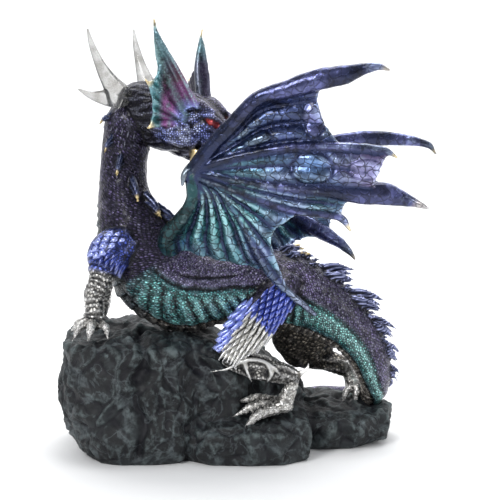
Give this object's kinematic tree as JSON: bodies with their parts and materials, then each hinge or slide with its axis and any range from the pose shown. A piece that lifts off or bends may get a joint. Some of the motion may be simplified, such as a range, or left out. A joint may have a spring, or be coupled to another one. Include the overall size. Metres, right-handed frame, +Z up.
{
  "type": "dragon statue",
  "caption": "Painted resin statue of a seated dragon with raised ribbed wings and clear horns, its neck turned back, on a craggy rock base.",
  "frame": {"origin": "on the flat underside of the rock base, near the middle of its length", "axes": "+Z up; -X toward the dragon's chest; -Y toward its left flank, the side it is shown from"},
  "size_m": [0.2111, 0.1121, 0.2372],
  "materials": {
    "rock": "charcoal paint on cast resin, dry-brushed grey on the high edges",
    "dragon_paint": "pearl violet, blue and teal paint on cast resin, silver legs, gold tips, dark wash in the recesses",
    "clear_horn": "clear acrylic, slightly frosted"
  },
  "bodies": {
    "root": {"rock_base": "rock", "dragon": "dragon_paint", "right_horn": "clear_horn", "left_horn": "clear_horn"}
  },
  "joints": []
}
